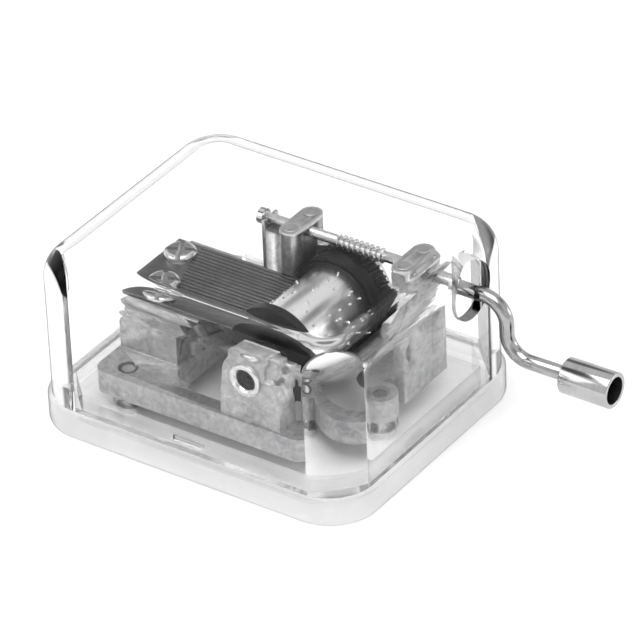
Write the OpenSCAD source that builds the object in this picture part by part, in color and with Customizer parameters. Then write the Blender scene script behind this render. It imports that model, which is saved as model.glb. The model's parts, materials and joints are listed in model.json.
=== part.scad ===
// Hand-cranked music box: a comb and pin-cylinder movement in a clear two-part case.
// Millimetres. Origin at the centre of the case's footprint, on the surface it stands on.
// +Z is up, the crank leaves the case towards +X, and the front of the case faces -Y.

/* [Case] */
// Width of the clear cover, along X
case_w = 64; // [62:0.5:90]
// Depth of the clear cover, along Y
case_d = 53.4; // [52:0.5:80]
// Height of the whole case
case_h = 33.7; // [33.4:0.1:60]
// Thickness of the cover's walls and top
case_wall = 2; // [1.2:0.1:2.6]
// Radius of the cover's upright corners
case_corner_r = 8.4; // [6:0.2:12]
// Leg of the flat that thickens the cover's upright corners inside
case_corner_flat = 6.4; // [4:0.1:7.5]
// Radius of the cover's top edges
case_top_r = 5.5; // [3:0.1:5.8]
// Height of the base tray's outer wall
base_h = 5.4; // [4.8:0.1:5.8]
// Thickness of the base tray's floor
base_floor = 2; // [1.6:0.1:2.2]
// How far the base tray stands out all round the cover
base_flange = 0.75; // [0.2:0.05:3]
// Chamfer around the base tray's underside
base_edge = 0.9; // [0.3:0.1:1.4]
// Height of the lip that rises from the tray inside the cover
lip_h = 2.2; // [1:0.1:4]
// Thickness of that lip
lip_t = 1.3; // [0.8:0.1:2]
// Radius of the hole in the cover for the crank
crank_hole_r = 5.3; // [3:0.1:5.4]

/* [Bedplate] */
// Left end of the bedplate, from the case's centre
plate_left = 25.6; // [25:0.1:26.4]
// Right end of the bedplate's front rail, from the case's centre
plate_right = 17.8; // [17:0.1:19]
// Front edge of the bedplate, from the case's centre
plate_front = 17.1; // [16.5:0.1:18]
// Back edge of the bedplate, from the case's centre
plate_back = 18.6; // [18.3:0.1:19.4]
// Height of the bedplate's underside
plate_z = 4; // [3.4:0.1:4.2]
// Depth of the cast skirt around the bedplate
plate_h = 4.4; // [4:0.1:4.8]
// Width of the bedplate's front rail
rail_w = 5; // [4:0.1:6]
// Wall thickness of the upright cast walls
cast_wall = 2.2; // [1.8:0.1:2.6]
// Radius of the bearing columns
column_r = 1.95; // [1.6:0.05:2.2]

/* [Cylinder] */
// Distance of the cylinder's axis to the right of the case's centre
cyl_x = 6.6; // [6.2:0.1:7]
// Height of the cylinder's axis above the bedplate's top
cyl_rise = 8.64; // [8.6:0.02:8.9]
// Outer radius of the pinned sleeve
cyl_r = 6.45; // [5.8:0.05:6.6]
// Wall thickness of the pinned sleeve
cyl_wall = 0.7; // [0.4:0.05:1]
// Length of the pinned sleeve
cyl_len = 16.6; // [16.4:0.1:17]
// Radius of a tune pin
pin_r = 0.22; // [0.15:0.01:0.28]
// How far a tune pin stands out of the sleeve
pin_out = 0.35; // [0.3:0.05:0.6]
// Radius of the black front disc
disc_r = 8.3; // [8:0.1:8.5]
// Radius of the flange at the cylinder's far end
flange_r = 7.8; // [7.2:0.1:8]
// Thickness of the black front disc
disc_t = 1.6; // [1.2:0.1:2]
// Radius of the cylinder's steel arbor at its front journal
arbor_r = 1.8; // [1.5:0.05:2]
// Radius of the arbor's rear journal
arbor_rear_r = 1.2; // [0.9:0.05:1.4]
// Outer radius of the bush in the front bracket
bush_r = 3; // [2.7:0.05:3.3]

/* [Worm drive] */
// Number of teeth on the worm wheel
wheel_teeth = 46; // [44:1:47]
// Axial pitch of the worm's thread
worm_pitch = 1.08; // [1:0.02:1.12]
// Distance of the worm's axis behind the case's centre
worm_y = 12.7; // [12.4:0.1:13]
// Length of the threaded stretch
worm_len = 9.8; // [8:0.1:11]
// Radius of the crank shaft at its journals
shaft_r = 0.95; // [0.8:0.05:1.1]
// Radius of the crank shaft's outer end
shaft_out_r = 1.2; // [1.1:0.05:1.25]
// Thread depth above and below the pitch line
thread_half = 0.19; // [0.15:0.01:0.2]
// Thickness of the thread, and of a wheel tooth, at the pitch line
tooth_t = 0.4; // [0.3:0.01:0.42]
// Width of the toothed rim
wheel_b = 2.8; // [2.2:0.1:3]

/* [Comb] */
// Number of teeth on the comb
notes = 18; // [12:1:18]
// Distance from tooth to tooth
note_pitch = 0.9; // [0.8:0.01:0.9]
// Width of the slot between two teeth
slot_w = 0.28; // [0.2:0.01:0.4]
// Thickness of the comb at its root
comb_t = 1.2; // [1:0.05:1.5]
// Thickness of a tooth
comb_tooth_t = 0.5; // [0.4:0.05:0.7]
// Height of the comb's top above the cylinder's axis
comb_rise = 2.2; // [2:0.1:2.6]
// Distance of the comb's left edge from the case's centre
comb_left = 25.2; // [24.8:0.1:25.6]
// Radius of a comb screw's head
comb_head_r = 2.9; // [2.4:0.1:3.1]
// Height of a comb screw's head
comb_head_h = 1.4; // [1:0.1:1.8]
// Radius of a comb screw's shank
comb_screw_r = 1.1; // [0.9:0.05:1.3]

/* [Crank] */
// Radius of the crank's wire
wire_r = 1.3; // [1.2:0.05:1.5]
// Distance from the shaft's axis to the knob's axis
crank_throw = 10.4; // [9.5:0.1:16]
// Radius of the crank's two bends, along the wire's centre
bend_r = 4.4; // [3.5:0.1:4.7]
// Distance from the case to the middle of the crank's upright stretch
crank_stand = 6.6; // [6.2:0.1:12]
// Length of the straight stretch between the lower bend and the knob
crank_reach = 7; // [5:0.1:12]
// Radius of the knob
knob_r = 3.2; // [2.6:0.1:4]
// Length of the knob
knob_len = 9.4; // [8:0.1:14]
// Radius of the hollow in the knob's end
knob_hollow_r = 2.35; // [1.9:0.05:2.4]

/* [Fits] */
// Radial clearance between a turning journal and its bearing
run_clear = 0.04; // [0.02:0.01:0.08]
// Gap between the tray's lip and the cover
lip_clear = 0.1; // [0.05:0.01:0.3]
// Gap between a tip of the comb and the circle that the pins run on
tip_clear = 0.12; // [0.08:0.01:0.4]
// Gap between a wheel tooth's tip and the worm's root
mesh_clear = 0.06; // [0.04:0.01:0.1]
// End gap between a turning part and a fixed face
end_clear = 0.3; // [0.15:0.05:0.4]
// Radial clearance around a screw's shank
screw_clear = 0.15; // [0.1:0.05:0.3]

/* [Hidden] */
$fn = 64;
eps = 0.01;

// Bedplate levels and outline
plate_top = plate_z + plate_h;
plate_r = 2.4;
rail_left_w = 13.1;
window_r = 2.6;
plate_holes = [[5.2, 3.4], [44.7, 18.4], [5.2, 31]];
foot_r = 2.9;
foot_screw_r = 1.15;
foot_head_r = 2.3;
foot_head_h = 1.1;
foot_head_sink = 0.35;
foot_recess_r = 1.8;
foot_recess_t = 1.6;
foot_lug_r = 3.1;
function foot_at(i) = [plate_holes[i][0] - plate_left, plate_holes[i][1] - plate_front];

// Cylinder and its bearings
cyl_z = plate_top + cyl_rise;
pin_seat = 0.4;
cyl_y0 = -cyl_len / 2 + 0.1;
cyl_y1 = cyl_y0 + cyl_len;
disc_y0 = cyl_y0 - disc_t;
bracket_t = 4.6;
bracket_y0 = -plate_front + 0.4;
bracket_y1 = bracket_y0 + bracket_t;
bracket_l = 5.2;
bracket_r = 6.4;
bracket_crown_r = 4.9;
bush_out = 0.7;
arbor_sink = 1.9;
arbor_hollow_r = 0.8;
arbor_hollow_l = 3;
hub_r = 3.4;
wall_y0 = worm_y + wheel_b / 2 + 0.6;
wall_y1 = plate_back - 0.9;
sweep_gap = 0.4;

// Worm gearing
worm_r = 1.15;
wheel_r = wheel_teeth * worm_pitch / (2 * PI);
worm_z = cyl_z + wheel_r + worm_r;
thread_tip_r = worm_r + thread_half;
worm_root_r = worm_r - thread_half - 0.035;
wheel_tip_r = wheel_r + worm_r - worm_root_r - mesh_clear;
wheel_root_r = wheel_r + worm_r - thread_tip_r - mesh_clear;
flank = tan(25);
helix_rate = worm_pitch / (2 * PI * worm_r * wheel_r) * 180 / PI;
wheel_y0 = worm_y - wheel_b / 2;
flange_t = 1.4;
drum_r = wheel_root_r + 0.2;
thread_turns = floor(worm_len / worm_pitch);
section_n = 24;
thread_len = thread_turns * worm_pitch;
thread_x0 = cyl_x - worm_pitch * 1.5;

// Bearing posts of the crank shaft
left_post_x = -2.6;
right_post_x = 20.2;
column_dy = 3;
block_top = worm_z + shaft_r + run_clear;
cap_t = 0.55;
cap_r = 2.05;
rivet_r = 1.05;
rivet_h = 0.25;
post_back_x = left_post_x - 6.2;
post_back_top = worm_z - 1.2;
fork_t = 0.6;
fork_x0 = post_back_x - fork_t;
fork_w = 4.2;
fork_bottom = worm_z - 9;
fork_top = worm_z + 0.5;
fork_rivet_z = worm_z - 4.7;
head_r = 1.45;
head_t = 1.1;
head_x1 = fork_x0 - 0.5;
right_face_x = 21.2;
right_front_y = 5.6;
recess_y = 8.6;
recess_z = 13.6;
recess_r = 2.3;
recess_t = 0.9;
shaft_end_x = case_w / 2 - 3.4;
shaft_out_x = max(right_face_x, right_post_x + cap_r) + end_clear;
stud_r = 0.8;
stud_l = 3.4;
collar_r = 1.75;
collar_t = 0.8;

// Comb
comb_z1 = cyl_z + comb_rise;
comb_z0 = comb_z1 - comb_t;
note_y0 = 0.1 - note_pitch * (notes - 1) / 2;
comb_y0 = note_y0 - note_pitch / 2 + slot_w / 2;
comb_y1 = comb_y0 + notes * note_pitch - slot_w;
pin_tip_r = cyl_r + pin_out;
tip_drop = comb_rise - comb_tooth_t;
tip_x = cyl_x - sqrt(pow(pin_tip_r + tip_clear, 2) - tip_drop * tip_drop);
root_front_x = -16.2;
root_back_x = -20.4;
function root_x(i) = root_front_x + (root_back_x - root_front_x) * i / (notes - 1);
thin_x = tip_x - 8.8;
comb_screws_at = [[-21.8, 3.7], [-18.9, -5.3]];
comb_slot_w = 0.9;
comb_slot_d = 0.7;
pedestal_x0 = -25.3;
pedestal_x1 = -13.5;
pedestal_y0 = -9;
pedestal_y1 = 10.2;
ledge_x = -9.3;
ledge_t = 0.8;
comb_room = 0.3;
comb_room_h = 2.4;
weight_n = 8;
weight_l = 4.6;
weight_x1 = tip_x - 2.2;
damper_n = 9;

// Crank and knob
upright_x = case_w / 2 + crank_stand;
crank_x0 = shaft_end_x;
knob_x0 = upright_x + bend_r + crank_reach;
knob_z = worm_z - crank_throw;
knob_web = 3.4;
knob_pin_r = wire_r - 0.3;
washer_r = 1.9;
washer_t = 0.5;

// Case
inner_w = case_w - 2 * case_wall;
inner_d = case_d - 2 * case_wall;
inner_r = case_corner_r - case_wall;
base_w = case_w + 2 * base_flange;
base_d = case_d + 2 * base_flange;
base_r = case_corner_r + base_flange;
latch_w = 6;
latch_h = 0.8;
latch_out = 0.35;
latch_z = base_h + 1;
latch_gap = 0.1;

// ---- Shared shapes ----

// Rectangle with round corners, centred, built from exact arcs
module round_rect(w, d, r) {
    square([w - 2 * r, d], center = true);
    square([w, d - 2 * r], center = true);
    for (sx = [-1, 1], sy = [-1, 1])
        translate([sx * (w / 2 - r), sy * (d / 2 - r)]) circle(r);
}

// Rectangle with flats of the given leg across its corners, centred
module flat_rect(w, d, leg) {
    polygon([for (p = [[w, d - 2 * leg], [w - 2 * leg, d], [2 * leg - w, d], [-w, d - 2 * leg],
        [-w, 2 * leg - d], [2 * leg - w, -d], [w - 2 * leg, -d], [w, 2 * leg - d]]) p / 2]);
}

// Outline inside the cover, gap away from its wall
module cavity_outline(gap) {
    intersection() {
        round_rect(inner_w - 2 * gap, inner_d - 2 * gap, inner_r - gap);
        flat_rect(inner_w - 2 * gap, inner_d - 2 * gap, case_corner_flat - (2 - sqrt(2)) * gap);
    }
}

// Side view of a slab whose top edges are rounded: width w, height h, radius e
module soft_profile(w, h, e) {
    translate([-w / 2, 0]) square([w, h - e]);
    translate([-w / 2 + e, 0]) square([w - 2 * e, h]);
    for (s = [-1, 1]) translate([s * (w / 2 - e), h - e]) circle(e);
}

// Block with round upright corners (r) and round top edges (e), standing on z = 0
module soft_block(w, d, h, r, e) {
    translate([0, d / 2 - r, 0]) rotate([90, 0, 0]) linear_extrude(d - 2 * r) soft_profile(w, h, e);
    translate([r - w / 2, 0, 0]) rotate([90, 0, 90]) linear_extrude(w - 2 * r) soft_profile(d, h, e);
    for (sx = [-1, 1], sy = [-1, 1])
        translate([sx * (w / 2 - r), sy * (d / 2 - r), 0])
            rotate_extrude() intersection() {
                soft_profile(2 * r, h, e);
                square([r, h]);
            }
}

// Cylinders along X and Y that start at a point
module rod_x(x, y, z, r, l) { translate([x, y, z]) rotate([0, 90, 0]) cylinder(r = r, h = l); }
module rod_y(x, y, z, r, l) { translate([x, y, z]) rotate([-90, 0, 0]) cylinder(r = r, h = l); }

// Box between two corners
module span(a, b) { translate(a) cube(b - a); }

// ---- Case ----

module case_cover() {
    color([0.93, 0.95, 0.97, 0.3]) difference() {
        translate([0, 0, base_h])
            soft_block(case_w, case_d, case_h - base_h, case_corner_r, case_top_r);
        intersection() {
            translate([0, 0, base_h - eps])
                soft_block(inner_w, inner_d, case_h - base_h - case_wall + eps, inner_r,
                    case_top_r - case_wall);
            linear_extrude(case_h) flat_rect(inner_w, inner_d, case_corner_flat);
        }
        rod_x(case_w / 2 - case_wall - 1, worm_y, worm_z, crank_hole_r, case_wall + 2);
        for (s = [-1, 1]) translate([0, s * inner_d / 2, latch_z + latch_h / 2])
            cube([latch_w + 2 * latch_gap, 2 * (latch_out + latch_gap), latch_h + 2 * latch_gap],
                center = true);
    }
}

module case_base() {
    color([0.93, 0.95, 0.97, 0.3]) difference() {
        union() {
            translate([0, 0, base_h]) mirror([0, 0, 1])
                soft_block(base_w, base_d, base_h, base_r, base_edge);
            linear_extrude(base_h + lip_h) cavity_outline(lip_clear);
            for (s = [-1, 1]) translate([0, s * (inner_d / 2 - lip_clear), latch_z + latch_h / 2])
                cube([latch_w, 2 * latch_out, latch_h], center = true);
        }
        difference() {
            translate([0, 0, base_floor]) linear_extrude(base_h + lip_h)
                cavity_outline(lip_clear + lip_t);
            for (i = [0:2]) translate(foot_at(i)) cylinder(r = foot_r, h = plate_z);
        }
        for (i = [0:2]) translate(foot_at(i)) {
            translate([0, 0, -eps]) cylinder(r = foot_screw_r + screw_clear, h = plate_z + 1);
            translate([0, 0, -eps])
                cylinder(r = foot_head_r + screw_clear, h = foot_head_h + foot_head_sink + eps);
        }
    }
}

module case_screws() {
    color("silver") for (i = [0:2]) translate(foot_at(i)) {
        difference() {
            translate([0, 0, foot_head_sink]) cylinder(r = foot_head_r, h = foot_head_h);
            for (a = [0, 90]) rotate(a) translate([0, 0, foot_head_sink])
                cube([2.6, 0.6, 1], center = true);
        }
        cylinder_between(foot_head_sink + foot_head_h - eps, plate_top - 0.2, foot_screw_r);
    }
}

module cylinder_between(z0, z1, r) { translate([0, 0, z0]) cylinder(r = r, h = z1 - z0); }

// ---- Bedplate, one casting ----

module plate_outline() {
    w = plate_left + plate_right;
    d = plate_front + plate_back;
    translate([(plate_right - plate_left) / 2, (plate_back - plate_front) / 2]) round_rect(w, d, plate_r);
    translate(foot_at(1)) circle(foot_lug_r);
    translate([right_face_x - cast_wall - 3, right_front_y])
        square([cast_wall + 3, plate_back - right_front_y]);
}

module plate_window() {
    x0 = -plate_left + rail_left_w;
    x1 = plate_right - 2.6;
    y0 = -plate_front + rail_w;
    y1 = worm_y - column_dy - column_r - 0.6;
    translate([(x0 + x1) / 2, (y0 + y1) / 2]) round_rect(x1 - x0, y1 - y0, window_r);
}

module plate_body() {
    difference() {
        translate([0, 0, plate_z]) linear_extrude(plate_h) difference() {
            plate_outline();
            plate_window();
        }
        translate([cyl_x - bracket_l - 5.2, -plate_front + rail_w, plate_top - 1.5])
            linear_extrude(2) round_rect(9.6, 3.6, 1.7);
        hollow_underside();
    }
}

// The casting is a thick skin over a hollow underside
module hollow_underside() {
    skin = 1.5;
    translate([-plate_left + skin, -3.2, plate_z - eps]) cube([rail_left_w - 2 * skin, 12, plate_h - 2]);
    translate([-plate_left + 9.6, -plate_front + skin, plate_z - eps])
        cube([22, rail_w - 2 * skin - 0.6, plate_h - 2]);
}

module pedestal() {
    top = comb_z0;
    difference() {
        union() {
            span([pedestal_x0, pedestal_y0, plate_top - eps], [pedestal_x1, pedestal_y1, top]);
            // thin ledge under the comb's root, and a thicker gusset at the front
            span([pedestal_x1 - eps, pedestal_y0 + 0.6, top - ledge_t], [ledge_x, pedestal_y1 - 1.5, top]);
            translate([0, pedestal_y0 + 3.2, 0]) rotate([90, 0, 0]) linear_extrude(3.2)
                polygon([[pedestal_x1 - eps, top], [pedestal_x1 + 0.4, top - 0.4],
                    [pedestal_x1 + 2.9, top - 2.5], [pedestal_x1 + 2.4, top - 3],
                    [pedestal_x1 - eps, top - 3.4]]);
            // ribs down the pedestal's right side
            for (y = [pedestal_y0 + 5.2, 4.4])
                translate([pedestal_x1, y, plate_top - eps])
                    cylinder(r = 1.5, h = top - plate_top - ledge_t);
        }
        // chamfer along the top left edge
        translate([pedestal_x0, 0, top]) rotate([0, 45, 0]) cube([1.6, 60, 1.6], center = true);
        // scallop in the left end of the front face
        translate([pedestal_x0 - 0.6, pedestal_y0 - 1, top - 3.4]) rotate([-90, 0, 0])
            cylinder(r = 1.1, h = 5);
        for (p = comb_screws_at) translate([p[0], p[1], top - 7]) cylinder(r = comb_screw_r, h = 8);
    }
}

// Bracket that holds the cylinder's front bush
module front_bracket() {
    crown = bracket_crown_r;
    drop = cyl_z - plate_z;
    difference() {
        union() {
            translate([cyl_x, bracket_y1, cyl_z]) rotate([90, 0, 0]) linear_extrude(bracket_t) {
                polygon([[-bracket_l - 0.5, -drop], [bracket_r, -drop], [bracket_r, -3.6],
                    [bracket_r - 0.4, -1.2], [crown - 0.1, 0.6], [-crown + 0.1, 0.6],
                    [-bracket_l, -1.2], [-bracket_l - 0.5, -5.2]]);
                intersection() {
                    circle(crown);
                    translate([-crown, -1]) square([2 * crown - 1.3, crown + 0.2]);
                }
            }
            // torn cheek to the right of the crown, cast a little lower
            translate([cyl_x, 0, cyl_z])
                span([2.4, bracket_y0 + 1, 0], [5.4, bracket_y1 - 0.7, 3.1]);
            translate([cyl_x, 0, cyl_z])
                span([bracket_r - 1.9, bracket_y1 - 1.8, -1.6], [bracket_r + 0.4, bracket_y1, 1.7]);
        }
        // sloped back of the crown
        translate([cyl_x, bracket_y1, cyl_z + crown]) rotate([38, 0, 0])
            cube([2 * bracket_r + 2, 3.2, 2.4], center = true);
        rod_y(cyl_x, bracket_y0 - 1, cyl_z, bush_r, bracket_t + 2);
    }
}

// Two columns and the web between them, with a slot open at the top for the shaft
module bearing_post(x) {
    for (s = [-1, 1]) translate([x, worm_y + s * column_dy, plate_top - eps])
        cylinder(r = column_r, h = block_top - plate_top + eps);
    span([x - 1.2, worm_y - column_dy, plate_top - eps], [x + 1.2, worm_y + column_dy, block_top]);
}

module shaft_slot() {
    x0 = post_back_x - 1;
    l = right_face_x + 1 - x0;
    rod_x(x0, worm_y, worm_z, shaft_r + run_clear, l);
    translate([x0, worm_y - shaft_r - run_clear, worm_z]) cube([l, 2 * (shaft_r + run_clear), 5]);
}

module left_post() {
    bearing_post(left_post_x);
    // tail that carries the retainer
    span([post_back_x, worm_y - 2.1, plate_top - eps], [left_post_x, worm_y + 2.1, post_back_top]);
    for (s = [-1, 1]) translate([post_back_x + 1.4, worm_y + s * 1.5, plate_top - eps])
        cylinder(r = 1.4, h = post_back_top - plate_top);
}

// Wall behind the wheel: it stiffens the left post and carries the arbor's rear journal
module rear_wall() {
    h1 = worm_z - plate_top - 3;
    h2 = cyl_z + 3.4 - plate_top;
    translate([0, wall_y1, plate_top - eps]) rotate([90, 0, 0]) linear_extrude(wall_y1 - wall_y0)
        polygon([[left_post_x, 0], [right_face_x - 1, 0], [right_face_x - 1, 5.4],
            [cyl_x + 7, 5.4], [cyl_x + 3.8, h2], [2.4, h1], [left_post_x, h1 - 1.4]]);
}

module right_wall() {
    rise = worm_z - plate_z;
    shoulder = rise - 1.8;
    crest = block_top - plate_z;
    reach = column_dy + column_r;
    difference() {
        translate([right_face_x - cast_wall, 0, plate_z]) rotate([90, 0, 90])
            linear_extrude(cast_wall) polygon([[right_front_y, 0], [right_front_y, 10.2], [3.4, 13.6],
                [3.4, 16.4], [worm_y - reach, rise - 1.5], [worm_y - reach, crest],
                [worm_y + reach, crest], [worm_y + reach, shoulder], [plate_back, shoulder],
                [plate_back, 0]]);
        rod_x(right_face_x - recess_t, recess_y, recess_z, recess_r, recess_t + 1);
    }
    bearing_post(right_post_x);
    translate([right_face_x - cast_wall, 8.2, plate_top - eps]) cylinder(r = 1.1, h = 12);
}

module bedplate() {
    color([0.68, 0.68, 0.69]) difference() {
        union() {
            plate_body();
            pedestal();
            front_bracket();
            left_post();
            rear_wall();
            right_wall();
            for (i = [0:2]) translate(foot_at(i)) cylinder_between(plate_z, plate_top, foot_lug_r);
        }
        shaft_slot();
        // room for the comb's side and its weights beside the left post
        span([left_post_x - 2 * column_r, comb_y0, comb_z1 - comb_room_h],
            [left_post_x + 2 * column_r, comb_y1 + comb_room, comb_z1 + comb_room]);
        // room for the wheel and the front disc to turn
        rod_y(cyl_x, cyl_y1 - eps, cyl_z, disc_r + sweep_gap, wall_y0 - cyl_y1 + eps);
        rod_y(cyl_x, bracket_y1, cyl_z, disc_r + sweep_gap, cyl_y1 - bracket_y1);
        rod_y(cyl_x, wall_y0 - 1, cyl_z, arbor_rear_r + run_clear, 6);
        for (i = [0:2]) translate(foot_at(i)) {
            cylinder_between(plate_z - 1, plate_top + 1, foot_screw_r);
            cylinder_between(plate_top - foot_recess_t, plate_top + 1, foot_recess_r);
        }
    }
}

module front_bush() {
    color("silver") difference() {
        rod_y(cyl_x, bracket_y0 - bush_out, cyl_z, bush_r, bracket_t + bush_out);
        rod_y(cyl_x, bracket_y0 - bush_out - 1, cyl_z, arbor_r + run_clear, bracket_t + 4);
        translate([cyl_x, bracket_y0 - bush_out - eps, cyl_z]) rotate([-90, 0, 0])
            cylinder(r1 = arbor_r + 0.45, r2 = arbor_r + run_clear, h = 0.5);
    }
}

// ---- Pinned cylinder ----

module cylinder_sleeve() {
    color([0.85, 0.85, 0.86]) difference() {
        rod_y(cyl_x, cyl_y0, cyl_z, cyl_r, cyl_len);
        rod_y(cyl_x, cyl_y0 - 1, cyl_z, cyl_r - cyl_wall, cyl_len + 2);
        pins(1);
    }
}

// Pins of a scale study: each note sounds a few times, spread evenly round the cylinder
function pin_count(i) = 3 + (i % 3);
function pin_angle(i, k) = 97 * i + 360 * (k + 0.3 * ((i + k) % 2)) / pin_count(i);

// Pins from their seats in the sleeve up to a height above it
module pins(top) {
    for (i = [0:notes - 1], k = [0:pin_count(i) - 1])
        translate([cyl_x, note_y0 + i * note_pitch, cyl_z]) rotate([0, pin_angle(i, k), 0])
            translate([0, 0, cyl_r - pin_seat]) cylinder(r = pin_r, h = top + pin_seat);
}

module cylinder_pins() { color("silver") pins(pin_out); }

module front_disc() {
    color([0.08, 0.08, 0.08]) difference() {
        union() {
            rod_y(cyl_x, disc_y0, cyl_z, disc_r, disc_t);
            rod_y(cyl_x, disc_y0, cyl_z, cyl_r - cyl_wall, disc_t + 2);
            rod_y(cyl_x, disc_y0 - 0.5, cyl_z, hub_r, 1);
        }
        rod_y(cyl_x, disc_y0 - 2, cyl_z, arbor_r, disc_t + 6);
    }
}

// Angle of half a wheel tooth at a radius
function tooth_half(r) = ((tooth_t / 2 - (r - wheel_r) * flank) / r) * 180 / PI;

module wheel_teeth_profile() {
    step = 360 / wheel_teeth;
    polygon([for (i = [0:wheel_teeth - 1], c = [[-1, wheel_root_r], [-1, wheel_tip_r],
        [1, wheel_tip_r], [1, wheel_root_r]])
        let (a = -90 + (i + 0.5) * step + c[0] * tooth_half(c[1])) c[1] * [cos(a), sin(a)]]);
}

module worm_wheel() {
    rim_r = wheel_root_r - 1.2;
    color([0.12, 0.12, 0.12]) {
        // toothed rim, slanted to suit the worm's lead
        translate([cyl_x, wheel_y0, cyl_z]) rotate([-90, 0, 0]) difference() {
            rotate(-helix_rate * wheel_b / 2)
                linear_extrude(wheel_b, twist = -helix_rate * wheel_b, slices = 4) wheel_teeth_profile();
            translate([0, 0, -1]) cylinder(r = rim_r, h = wheel_b + 2);
        }
        difference() {
            union() {
                rod_y(cyl_x, cyl_y1, cyl_z, cyl_r + 0.75, 0.35);
                rod_y(cyl_x, cyl_y1 + 0.35, cyl_z, flange_r, flange_t - 0.35);
                rod_y(cyl_x, cyl_y1 + flange_t - eps, cyl_z, drum_r, wheel_y0 - cyl_y1 - flange_t + eps);
                rod_y(cyl_x, wheel_y0 - eps, cyl_z, rim_r + eps, wheel_b + eps);
                rod_y(cyl_x, cyl_y1 - 2, cyl_z, cyl_r - cyl_wall, 3);
            }
            rod_y(cyl_x, cyl_y1 - 3, cyl_z, arbor_r, wall_y0);
            // hollow back of the moulding
            difference() {
                rod_y(cyl_x, wheel_y0 + 0.6, cyl_z, rim_r - 1.2, wheel_b);
                rod_y(cyl_x, wheel_y0, cyl_z, hub_r, wheel_b + 1);
            }
        }
    }
}

module cylinder_arbor() {
    color("silver") difference() {
        union() {
            rod_y(cyl_x, bracket_y0 - bush_out + arbor_sink, cyl_z, arbor_r,
                wall_y0 - end_clear - bracket_y0 + bush_out - arbor_sink);
            rod_y(cyl_x, wall_y0 - end_clear - eps, cyl_z, arbor_rear_r, wall_y1 - wall_y0 + end_clear);
        }
        rod_y(cyl_x, bracket_y0 - bush_out + arbor_sink - eps, cyl_z, arbor_hollow_r, arbor_hollow_l);
    }
}

// ---- Comb ----

module comb() {
    color([0.3, 0.3, 0.31]) difference() {
        span([-comb_left, comb_y0, comb_z0], [tip_x, comb_y1, comb_z1]);
        // thinned underside of the teeth, with a slope up from the root
        translate([0, comb_y1 + 1, 0]) rotate([90, 0, 0]) linear_extrude(comb_y1 - comb_y0 + 2)
            polygon([[thin_x, comb_z0 - 1], [thin_x, comb_z0], [thin_x + 2, comb_z1 - comb_tooth_t],
                [tip_x + 1, comb_z1 - comb_tooth_t], [tip_x + 1, comb_z0 - 1]]);
        // slots, whose roots lie on a slant so that the low notes are longer
        for (i = [0:notes - 2])
            translate([root_x(i), note_y0 + (i + 0.5) * note_pitch - slot_w / 2, comb_z0 - 1])
                cube([tip_x - root_x(i) + 1, slot_w, comb_t + 2]);
        for (p = comb_screws_at) translate([p[0], p[1], comb_z0 - 1])
            cylinder(r = comb_screw_r + screw_clear, h = comb_t + 2);
    }
}

module comb_screws() {
    color([0.8, 0.8, 0.8]) for (p = comb_screws_at) translate([p[0], p[1], comb_z1]) {
        difference() {
            translate([0, 0, 0]) soft_head(comb_head_r, comb_head_h);
            for (a = [25, 115]) rotate(a) translate([0, 0, comb_head_h])
                cube([2 * comb_head_r + 1, comb_slot_w, 2 * comb_slot_d], center = true);
        }
        translate([0, 0, -comb_t - 5]) cylinder(r = comb_screw_r, h = comb_t + 5 + eps);
    }
}

// Domed screw head
module soft_head(r, h) {
    e = h * 0.55;
    rotate_extrude() {
        square([r, h - e]);
        square([r - e, h]);
        intersection() {
            translate([r - e, h - e]) circle(e);
            square([r, h]);
        }
    }
}

// Lead weights under the low notes
module comb_weights() {
    color([0.45, 0.45, 0.47]) for (i = [notes - weight_n:notes - 1])
        translate([weight_x1 - weight_l, note_y0 + i * note_pitch - 0.26,
            comb_z1 - comb_tooth_t - 0.5 - 0.14 * (i - notes + weight_n)])
            cube([weight_l, 0.52, 0.5 + 0.14 * (i - notes + weight_n)]);
}

// Damper strips under the tips of the high notes
module comb_dampers() {
    color([0.85, 0.85, 0.8]) for (i = [0:damper_n - 1])
        translate([tip_x - 1.5, note_y0 + i * note_pitch - 0.2, comb_z1 - comb_tooth_t - 0.12])
            cube([1.1, 0.4, 0.12]);
}

// ---- Crank shaft ----

// Section through a single-start thread: the radius follows the thread's flanks round the axis
function thread_radius(a) =
    let (u = abs(a) / 360 * worm_pitch, top = tooth_t / 2 - thread_half * flank)
    u < top ? thread_tip_r : max(worm_root_r, thread_tip_r - (u - top) / flank);

module thread_section() {
    polygon([for (i = [0:section_n - 1]) let (a = i * 360 / section_n - 180)
        thread_radius(a) * [cos(a), sin(a)]]);
}

module worm_shaft() {
    start_turn = (thread_x0 - cyl_x) / worm_pitch * 360;
    color([0.75, 0.75, 0.76]) {
        rod_x(head_x1 - head_t - 0.05, worm_y, worm_z, shaft_r, thread_x0 - head_x1 + head_t + 0.05);
        translate([thread_x0, worm_y, worm_z]) rotate([0, 90, 0]) rotate(start_turn)
            linear_extrude(thread_len, twist = -360 * thread_turns, slices = 14 * thread_turns,
                    $fn = section_n) thread_section();
        rod_x(thread_x0 + thread_len, worm_y, worm_z, shaft_r, shaft_end_x - thread_x0 - thread_len);
        rod_x(shaft_out_x, worm_y, worm_z, shaft_out_r, shaft_end_x - shaft_out_x);
        rod_x(shaft_end_x - eps, worm_y, worm_z, stud_r, stud_l + eps);
    }
}

module shaft_head() {
    color("silver") difference() {
        rod_x(head_x1 - head_t, worm_y, worm_z, head_r, head_t);
        rod_x(head_x1 - head_t - 1, worm_y, worm_z, shaft_r, head_t + 2);
    }
}

module bearing_cap(x) {
    difference() {
        translate([x, worm_y, block_top]) linear_extrude(cap_t) {
            for (s = [-1, 1]) translate([0, s * column_dy]) circle(cap_r);
            square([2 * cap_r, 2 * column_dy], center = true);
        }
        for (s = [-1, 1]) translate([x, worm_y + s * column_dy, block_top - 1])
            cylinder(r = rivet_r, h = cap_t + 2);
    }
}

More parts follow.
